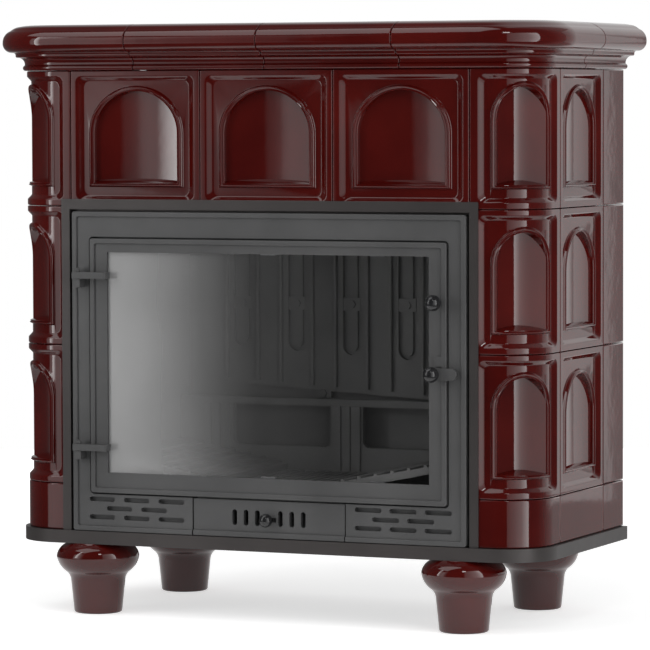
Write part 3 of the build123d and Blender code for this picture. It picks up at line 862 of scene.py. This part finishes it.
    def loop(self, half: tuple, middle: Point, radius: float) -> None:
        """Adds a rectangle's outline with round corners to the open mesh.

        Args:
            half: half width and half height.
            middle: the rectangle's middle.
            radius: of its corners.
        """
        bpy.ops.mesh.select_all(action="DESELECT")
        bpy.ops.mesh.primitive_plane_add(size=2, location=middle, rotation=(math.pi / 2, 0, 0))
        bpy.ops.transform.resize(value=(half[0], 1, half[1]), center_override=middle)
        bpy.ops.mesh.bevel(offset=radius, segments=6, affect="VERTICES", offset_type="OFFSET")
        bpy.ops.mesh.delete(type="ONLY_FACE")

    def pick_level(self, y: float, x: float = 0.0, z: tuple = (1.0, 0.0)) -> None:
        """Picks the outlines at depth y, outside the box up to x and between two heights z."""
        Bench.pick(lambda p: abs(p.y - y) < TOUCH and (abs(p.x) > x or not z[0] < p.z < z[1]))

    def outline_step(self, old: tuple, new: tuple, middle: Point) -> tuple:
        """Extrudes a rectangular outline to its next size about its middle.

        Args:
            old: half width, half height and depth of the last outline.
            new: the same of the next one.
            middle: the outline's middle.

        Returns:
            The new outline's sizes.
        """
        Bench.pull((0, new[2] - old[2], 0))
        bpy.ops.transform.resize(
            value=(new[0] / old[0], 1, new[1] / old[1]), center_override=middle
        )
        return new

    def draw_panel_and_border(self) -> None:
        """Draws the sunk panel's outline, its step up to the border, and the tile's sides."""
        low, high = self.border_low, self.height - self.border_high
        centre = (0, 0, (low + high) / 2)
        outer = (self.panel_half, (high - low) / 2)
        inner = (outer[0] - self.step_x, outer[1] - self.step_z)
        margin, inner_r, outer_r, lean = 1 * MM, 9 * MM, 1.5 * MM, 0.04
        self.loop(inner, (0, self.panel_y, centre[2]), inner_r)
        arch_z = (self.sill_z - margin, self.spring + self.rise + margin)
        self.pick_level(self.panel_y, self.arch_half + margin, arch_z)
        now = (*inner, self.panel_y)
        steps = 12
        for i in range(1, steps + 1):
            t = i / steps
            out = t - lean * math.sin(math.tau * t)
            level = self.panel_y * (0.5 + 0.5 * math.cos(math.pi * t))
            wide, tall = (a + (b - a) * out for a, b in zip(inner, outer))
            now = self.outline_step(now, (wide, tall, level), centre)
        left, right = self.width
        middle = ((left + right) / 2, 0, self.height / 2)
        half_w, half_h = (right - left) / 2, self.height / 2
        self.loop((half_w - self.edge, half_h - self.edge), middle, outer_r)
        self.pick_level(0.0, self.panel_half + margin, (low - margin, high + margin))
        now = (half_w - self.edge, half_h - self.edge, 0.0)
        steps = 5
        for i in range(1, steps + 1):
            angle = math.pi / 2 * i / steps
            inset = TILE_GAP + (self.edge - TILE_GAP) * (1 - math.sin(angle))
            level = self.edge * (1 - math.cos(angle))
            now = self.outline_step(now, (half_w - inset, half_h - inset, level), middle)
        Bench.pull((0, self.depth - now[2], 0))
        bpy.ops.mesh.edge_face_add()

    def close_faces(self) -> None:
        """Fills the sunk panel round the arch, and the border round the panel."""
        for level in (self.panel_y, 0.0):
            self.pick_level(level)
            bpy.ops.mesh.fill(use_beauty=True)


@dataclass
class Casing(SubAssembly):
    """All glazed tiles round the fire."""

    trim_x: float = 335.5 * MM
    strip_w: float = 91.5 * MM
    arc_len: float = CORNER_R * math.pi / 2

    def corner_width(self, cut: bool) -> tuple[float, float]:
        """The edges of a corner tile laid flat, the front one cut back for the trim or not."""
        leg = self.arc_len / 2 + CORNER_END - CORNER_R
        return -leg + (self.trim_x - (HALF_W - CORNER_END) if cut else 0.0), leg

    def bend(self, obj: Object) -> None:
        """Cuts a flat tile into narrow strips and bends it round the corner.

        Args:
            obj: a tile modelled flat, its round's middle on x = 0.
        """
        Bench.edit(obj)
        cuts = 46
        for i in range(cuts + 1):
            Bench.all()
            x = self.arc_len * (i / cuts - 0.5)
            bpy.ops.mesh.bisect(plane_co=(x, 0, 0), plane_no=(1, 0, 0))
        Bench.close()
        xs = [v.co.x for v in obj.data.vertices]
        low, high = min(xs), max(xs)
        ends = [(s * self.arc_len / 2 - low) / (high - low) for s in (-1, 1)]
        Bench.apply(
            obj, "SIMPLE_DEFORM", deform_method="BEND", deform_axis="Z", angle=math.pi / 2,
            limits=ends,
        )

    def corner_place(self, side: Side, z: float) -> Matrix:
        """Where a bent tile with its foot at z stands, its middle turned to 45 degrees."""
        turn = Matrix.Rotation(math.pi / 4, 4, "Z") @ Matrix.Translation((0, -CORNER_R, 0))
        return side.mirror @ Matrix.Translation((ARC_X, FACE_Y + CORNER_R, z)) @ turn

    def side_place(self, side: Side, y: float, z: float) -> Matrix:
        """Where a flat tile stands on a side, its middle y behind the front, its foot at z."""
        turn = Matrix.Rotation(math.pi / 2, 4, "Z")
        return side.mirror @ Matrix.Translation((HALF_W, FACE_Y + y, z)) @ turn

    def slab(self, width: tuple[float, float], height: float) -> Object:
        """Models a plain tile with rounded front edges, flat and unplaced.

        Args:
            width: its left and right edge.
            height: its height.

        Returns:
            The tile.
        """
        Bench.clear()
        middle = (sum(width) / 2, TILE_DEPTH / 2, height / 2)
        bpy.ops.mesh.primitive_cube_add(size=1, location=middle)
        obj = bpy.context.object
        obj.scale = (width[1] - width[0] - 2 * TILE_GAP, TILE_DEPTH, height - 2 * TILE_GAP)
        Bench.settle(obj)
        Bench.edit(obj)
        Bench.pick(lambda p: p.y < TOUCH)
        bpy.ops.mesh.bevel(offset=TILE_EDGE, segments=5, affect="EDGES")
        Bench.close()
        return obj

    def build(self) -> None:
        """Builds every tile and puts it in its place."""
        pattern = ReliefTile(
            (-TILE_W / 2, TILE_W / 2), Row.TOP.value[1], panel_half=101 * MM,
            arch_half=81 * MM, spring=112 * MM, rise=73 * MM,
        ).build()
        Bench.smooth(pattern)
        for index, word in zip((-1, 0, 1), ("left", "middle", "right")):
            place = Matrix.Translation((index * TILE_W, FACE_Y, Row.TOP.value[0]))
            self.glazed(pattern, f"front_tile_{word}", place)
        Bench.drop(pattern)
        for row in Row:
            self.build_side_tile(row)
            self.build_corner_tile(row)
        self.build_plinth()
        self.build_strips()

    def build_side_tile(self, row: Row) -> None:
        """Builds the side tiles of one row.

        Args:
            row: the row.
        """
        z, height = row.value
        pattern = ReliefTile(
            (-SIDE_W / 2, SIDE_W / 2), height, panel_half=83 * MM,
            arch_half=69.5 * MM, spring=116 * MM, rise=69 * MM, step_x=10 * MM,
            niche_depth=6.5 * MM, niche_bow=4 * MM,
        ).build()
        Bench.smooth(pattern)
        stem = f"side_tile_{row.word}"
        self.pair(pattern, stem, lambda s: self.side_place(s, SIDE_MIDDLE, z))

    def build_corner_tile(self, row: Row) -> None:
        """Builds the corner tiles of one row.

        Args:
            row: the row.
        """
        z, height = row.value
        pattern = ReliefTile(
            self.corner_width(row is not Row.TOP), height, panel_half=76 * MM,
            arch_half=57 * MM, spring=132 * MM, rise=57 * MM, step_x=10 * MM,
            niche_depth=22 * MM, niche_bow=19 * MM, niche_shift=-4 * MM, sill_slope=16.0,
        ).build()
        self.bend(pattern)
        Bench.smooth(pattern)
        self.pair(pattern, f"corner_tile_{row.word}", lambda s: self.corner_place(s, z))

    def build_plinth(self) -> None:
        """Builds the plain plinth tiles."""
        height = ROW_Z[0] - BASE_Z
        bent = self.slab(self.corner_width(True), height)
        self.bend(bent)
        Bench.smooth(bent)
        self.pair(bent, "plinth_corner", lambda s: self.corner_place(s, BASE_Z))
        flat = self.slab((-SIDE_W / 2, SIDE_W / 2), height)
        Bench.smooth(flat)
        self.pair(flat, "plinth_side", lambda s: self.side_place(s, SIDE_MIDDLE, BASE_Z))

    def build_strips(self) -> None:
        """Builds the plain strips at the back, four to a side."""
        rows = [(BASE_Z, ROW_Z[0] - BASE_Z)] + [row.value for row in Row]
        middle = DEPTH - self.strip_w / 2
        for side in Side:
            parts = []
            for z, height in rows:
                slab = self.slab((-self.strip_w / 2, self.strip_w / 2), height)
                Bench.smooth(slab)
                parts.append(Bench.copy(slab, "strip", self.side_place(side, middle, z)))
                Bench.drop(slab)
            Bench.clear()
            for part in parts:
                part.select_set(True)
            bpy.context.view_layer.objects.active = parts[0]
            bpy.ops.object.join()
            strip = bpy.context.object
            strip.name = strip.data.name = f"glazed_strips_{side.word}"
            self.finish_piece(strip, Finish.GLAZE, f"rear_strips_{side.word}")


# ---------------- cornice
@dataclass
class Cornice(SubAssembly):
    """The moulded cornice in six pieces; its section goes out from the tile face and up."""

    out: float = 37.4
    top: float = 70.0
    gap: float = 0.45 * MM

    def section(self) -> list[tuple[float, float]]:
        """The section in millimetres, from the tile face up and over to the rebate.

        Returns:
            The points, each as out from the face and up from the cornice's foot.
        """
        return profile(
            (-33.0, 0.2), (1.0, 0.2), ((6.3, 4.2), (3.2, 8.6), 10), (3.2, 10.5),
            ((6.4, 17.6), (14.5, 20.6), 9), ((16.9, 21.5), (17.4, 24.0), 4),
            ((18.6, 27.0), (22.0, 28.2), 4), ((33.8, 33.0), (self.out, 44.0), 10),
            ((34.0, 55.0), (25.0, 62.0), 9), ((19.0, 66.0), (10.0, 68.4), 6),
            ((2.0, 69.7), (-6.0, self.top), 4), (-30.0, self.top),
            ((-32.1, 69.1), (-33.0, 67.0), 3),
        )

    def run(self, start: float, path: Callable[[], None]) -> Object:
        """Draws the section across the front and carries it along a path.

        Args:
            start: where the section is drawn, along x.
            path: the extrusions and spins that follow.

        Returns:
            The piece.
        """
        points = [(start, FACE_Y - o * MM, CORNICE_Z + z * MM) for o, z in self.section()]
        pen = Pen(points[0]).line([*points[1:], points[0]])
        Bench.all()
        bpy.ops.mesh.remove_doubles(threshold=TOUCH)
        Bench.all()
        path()
        Bench.all()
        bpy.ops.mesh.fill_holes(sides=0)
        Bench.close()
        Bench.face_out(pen.obj)
        Bench.apply(
            pen.obj, "BEVEL", width=1.9 * MM, segments=4, limit_method="ANGLE",
            angle_limit=math.radians(50),
        )
        Bench.smooth(pen.obj)
        return pen.obj

    def build(self) -> None:
        """Builds the six pieces."""
        joint, side_joint, gap = TILE_W, SIDE_MIDDLE, self.gap

        def corner() -> None:
            """A short straight, the round, and a straight along the side."""
            Bench.pull((ARC_X - joint - gap, 0, 0))
            centre = (ARC_X, FACE_Y + CORNER_R, 0)
            bpy.ops.mesh.spin(steps=30, angle=-math.pi / 2, center=centre, axis=(0, 0, 1))
            Bench.pull((0, side_joint - CORNER_R - gap, 0))

        pieces = {
            "front": self.run(gap, lambda: Bench.pull((joint - 2 * gap, 0, 0))),
            "corner": self.run(joint + gap, corner),
            "side": self.run(gap, lambda: Bench.pull((DEPTH - side_joint - gap, 0, 0))),
        }
        turn = Matrix.Rotation(math.pi / 2, 4, "Z") @ Matrix.Translation((0, -FACE_Y, 0))
        places = {"side": Matrix.Translation((HALF_W, FACE_Y + side_joint, 0)) @ turn}
        for word, pattern in pieces.items():
            place = places.get(word, Matrix.Identity(4))
            self.pair(pattern, f"cornice_{word}", lambda s: s.mirror @ place)


# ---------------- feet
@dataclass
class Feet(SubAssembly):
    """Four turned feet."""

    x: float = 306 * MM
    inset: float = 38 * MM
    height: float = 110.0
    radius: float = 63.9

    def build(self) -> None:
        """Turns one foot and copies it."""
        line = profile(
            (0.0, 0.0), (33.5, 0.0), ((36.4, 1.0), (37.5, 4.0), 4), (39.9, 28.0), (42.1, 50.0),
            ((44.2, 57.6), (48.8, 63.5), 8), ((59.3, 74.5), (self.radius, 88.0), 12),
            ((60.1, 98.5), (50.9, 106.5), 12), (47.5, 109.4), (46.9, self.height),
            (0.0, self.height),
        )
        pen = Pen((0, 0, 0)).line([(r * MM, 0, z * MM) for r, z in line])
        Bench.all()
        bpy.ops.mesh.spin(steps=84, angle=math.tau, center=(0, 0, 0), axis=(0, 0, 1))
        Bench.close()
        Bench.face_out(pen.obj)
        Bench.smooth(pen.obj)
        for end, y in (("front", self.inset), ("rear", DEPTH - self.inset)):
            for side in Side:
                place = Matrix.Translation((side.value * self.x, FACE_Y + y, 0))
                self.glazed(pen.obj, f"foot_{end}_{side.word}", place)
        Bench.drop(pen.obj)


# ---------------- what the CAD model gives
@dataclass
class CadDress:
    """Finishes on the CAD nodes whose shape is right as it is."""

    pieces: dict = field(default_factory=lambda: {
        Finish.STEEL: ("base_tray", "surround_trim", "top_plate", "rear_panel", "flue_collar"),
        Finish.BOLT: ("foot_bolts", "glass_clips", "latch_shaft"),
        Finish.IRON: (
            "insert_front", "door_frame", "hinge_arms", "hinge_pins", "latch_lever",
            "ash_drawer_front", "air_slide",
        ),
        Finish.FIRE_IRON: (
            "firebox", "ribbed_back_plate", "lower_back_plate", "hearth_plate_left",
            "hearth_plate_right", "grate", "baffle_plate", "ash_housing", "ash_pan",
        ),
        Finish.ROPE: ("door_gasket",),
        Finish.GLASS: ("door_glass",),
        Finish.KNOB: ("door_knob", "latch_ball", "air_knob"),
    })

    def dress(self) -> None:
        """Dresses every CAD node that is shown."""
        finishes = {name: finish for finish, names in self.pieces.items() for name in names}
        for name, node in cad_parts.items():
            if not node.hide_render:
                finishes[name].dress(node)
                LOG.info("%s: CAD node in %s", name, finishes[name].name.lower())


# ---------------- studio
@dataclass
class Studio:
    """Camera, soft lights, floor and white background."""

    camera_at: Point = (2.552, -5.511 + FACE_Y, 0.788)
    yaw: float = 24.0077
    pitch: float = 3.156
    roll: float = -0.1657
    lens: float = 223.5
    floor_glow: tuple = (0.6, 0.8, 2.2)
    floor_reach: float = 3.0
    fill: float = 0.35
    surround: tuple = (
        (-180, 1.0), (-160, 0.7), (-140, 0.12), (-40, 0.06), (21, 0.04), (100, 0.12),
        (130, 0.4), (161.5, 0.45), (166, 1.0), (180, 1.0),
    )

    def place_camera(self) -> None:
        """Puts the camera where the photograph was taken from."""
        data = bpy.data.cameras.new("camera")
        data.lens, data.sensor_width = self.lens, 36.0
        data.clip_start, data.clip_end = 0.05, 100.0
        camera = bpy.data.objects.new("camera", data)
        bpy.context.scene.collection.objects.link(camera)
        yaw, pitch, roll = (math.radians(a) for a in (self.yaw, self.pitch, self.roll))
        turn = Matrix.Rotation(yaw, 4, "Z") @ Matrix.Rotation(math.pi / 2 - pitch, 4, "X")
        turn @= Matrix.Rotation(roll, 4, "Z")
        camera.matrix_world = Matrix.Translation(self.camera_at) @ turn
        bpy.context.scene.camera = camera

    def softbox(
        self, name: str, spot: Point, aim: Point, size: tuple, radiance: float,
        fade: tuple = ((0.0, 1.0), (1.0, 1.0)),
    ) -> None:
        """Adds a rectangular area light.

        Args:
            name: the light's name.
            spot: where its middle is.
            aim: the point that it looks at.
            size: width and height.
            radiance: how bright its face is at most, where 1 is white.
            fade: its brightness across, from 0 to 1, in the direction of a growing azimuth.
        """
        data = bpy.data.lights.new(name, "AREA")
        data.shape = "RECTANGLE"
        data.size, data.size_y = size
        data.energy = radiance * math.pi * size[0] * size[1]
        data.use_nodes = True
        nodes = Nodes(data.node_tree)
        emission = next(node for node in nodes.tree.nodes if node.type == "EMISSION")
        place = nodes.add("NewGeometry").outputs["Parametric"]
        across = nodes.add("SeparateXYZ", place).outputs["X"]
        tone = nodes.ramp(across, [(position, (level,) * 3) for position, level in fade])
        nodes.tree.links.new(tone, emission.inputs["Color"])
        lamp = bpy.data.objects.new(name, data)
        bpy.context.scene.collection.objects.link(lamp)
        lamp.location = spot
        lamp.rotation_euler = (Vector(aim) - Vector(spot)).to_track_quat("-Z", "Y").to_euler()
        lamp.visible_camera = False

    def upright(
        self, name: str, near: tuple, azimuth: float, distance: float, size: tuple,
        foot: float = 0.01, **face: object,
    ) -> None:
        """Adds a softbox that stands upright.

        Args:
            name: the light's name.
            near: the spot, x and y, that it looks at.
            azimuth: degrees round that spot, 0 in front, positive to the right.
            distance: from that spot.
            size: width and height.
            foot: how high its lower edge is.
            face: its radiance and fade.
        """
        angle = math.radians(azimuth)
        height = size[1] / 2 + foot
        spot = (near[0] + distance * math.sin(angle), near[1] - distance * math.cos(angle), height)
        self.softbox(name, spot, (*near, height), size, **face)

    def floor(self) -> None:
        """Lays a round pale floor that is lit up to white away from the stove's shadow."""
        Bench.clear()
        bpy.ops.mesh.primitive_circle_add(
            vertices=96, radius=self.floor_reach, fill_type="TRIFAN", location=(0, 0, 0)
        )
        ground = bpy.context.object
        ground.name = ground.data.name = "floor"
        shader = Shader("pale_floor")
        shader.colour(3.0, 2.0, (0.3, (0.80,) * 3), (0.7, (0.82,) * 3))
        shader.set(Roughness=0.8, Specular_IOR_Level=0.2)
        shader.glow_to_camera(*self.floor_glow)
        ground.data.materials.append(shader.material)

    def world(self) -> None:
        """Surrounds the stove: white to the camera and through glass, the studio to gloss.

        All other rays meet an even fill.
        """
        world = bpy.data.worlds.new("studio")
        bpy.context.scene.world = world
        world.use_nodes = True
        world.node_tree.nodes.clear()
        nodes = Nodes(world.node_tree)
        white = (1, 1, 1, 1)
        fill = nodes.add("Background", white, self.fill)
        around = nodes.add("Background", self.surround_tone(nodes))
        gloss = nodes.mix(nodes.seen("Is Glossy Ray"), fill, around)
        backdrop = nodes.add("Background", white, 1.0)
        seen = nodes.mix(nodes.seen("Is Camera Ray", "Is Transmission Ray"), gloss, backdrop)
        nodes.add("OutputWorld", seen.outputs[0])

    def surround_tone(self, nodes: Nodes) -> NodeSocket:
        """The studio's brightness by azimuth, as gloss sees it: the backdrop is behind the stove.

        Args:
            nodes: the world's nodes.

        Returns:
            The brightness.
        """
        apart = nodes.add("SeparateXYZ", nodes.add("TexCoord").outputs["Generated"])
        forward = nodes.calc("MULTIPLY", apart.outputs["Y"], -1.0)
        azimuth = nodes.calc("ARCTAN2", apart.outputs["X"], forward)
        turn = nodes.span(azimuth, (-math.pi, math.pi), (0.0, 1.0))
        stops = [(degrees / 360 + 0.5, (level,) * 3) for degrees, level in self.surround]
        return nodes.ramp(turn, stops)

    def build(self) -> None:
        """Builds the studio."""
        self.place_camera()
        self.upright(
            "key_right", near=(0.36, -0.11), azimuth=47, distance=1.5, size=(1.44, 2.3),
            radiance=5.0, fade=((0.0, 0.11), (0.35, 0.22), (0.65, 0.38), (1.0, 1.0)), foot=-0.3,
        )
        self.upright(
            "left_strip", near=(-0.43, -0.15), azimuth=-31, distance=1.3, size=(0.23, 1.6),
            radiance=7.0, fade=((0.0, 1.0), (0.5, 0.6), (1.0, 0.0)), foot=0.25,
        )
        self.upright(
            "left_wall", near=(-2.4, -0.185), azimuth=0, distance=2.87, size=(2.4, 3.2),
            radiance=1.25, foot=-0.4, fade=(
                (0.0, 0.3), (0.125, 0.9), (0.7, 1.0), (0.775, 0.85), (0.833, 0.42),
                (0.908, 0.26), (0.96, 0.2), (1.0, 0.05),
            ),
        )
        self.upright(
            "rim_right", near=(0.43, 0.0), azimuth=142, distance=1.7, size=(1.2, 2.0),
            radiance=0.6, fade=((0.0, 0.5), (0.8, 1.0), (1.0, 0.8)),
        )
        self.softbox("high_spot", (1.3, -2.6, 3.2), (0, 0, 0.45), (0.55, 0.55), 9.0)
        self.softbox("top", (-1.05, -0.9, 3.2), (0, 0, 0.4), (1.9, 2.4), 1.7)
        self.floor()
        self.world()
        bpy.context.scene.view_settings.view_transform = "Standard"


def main() -> None:
    """Builds the dressed stove and its studio, in order."""
    logging.basicConfig(level=logging.INFO, format="%(name)s %(message)s")
    Casing().build()
    Cornice().build()
    Feet().build()
    CadDress().dress()
    Studio().build()
    Bench.clear()


if __name__ == "__main__":
    main()
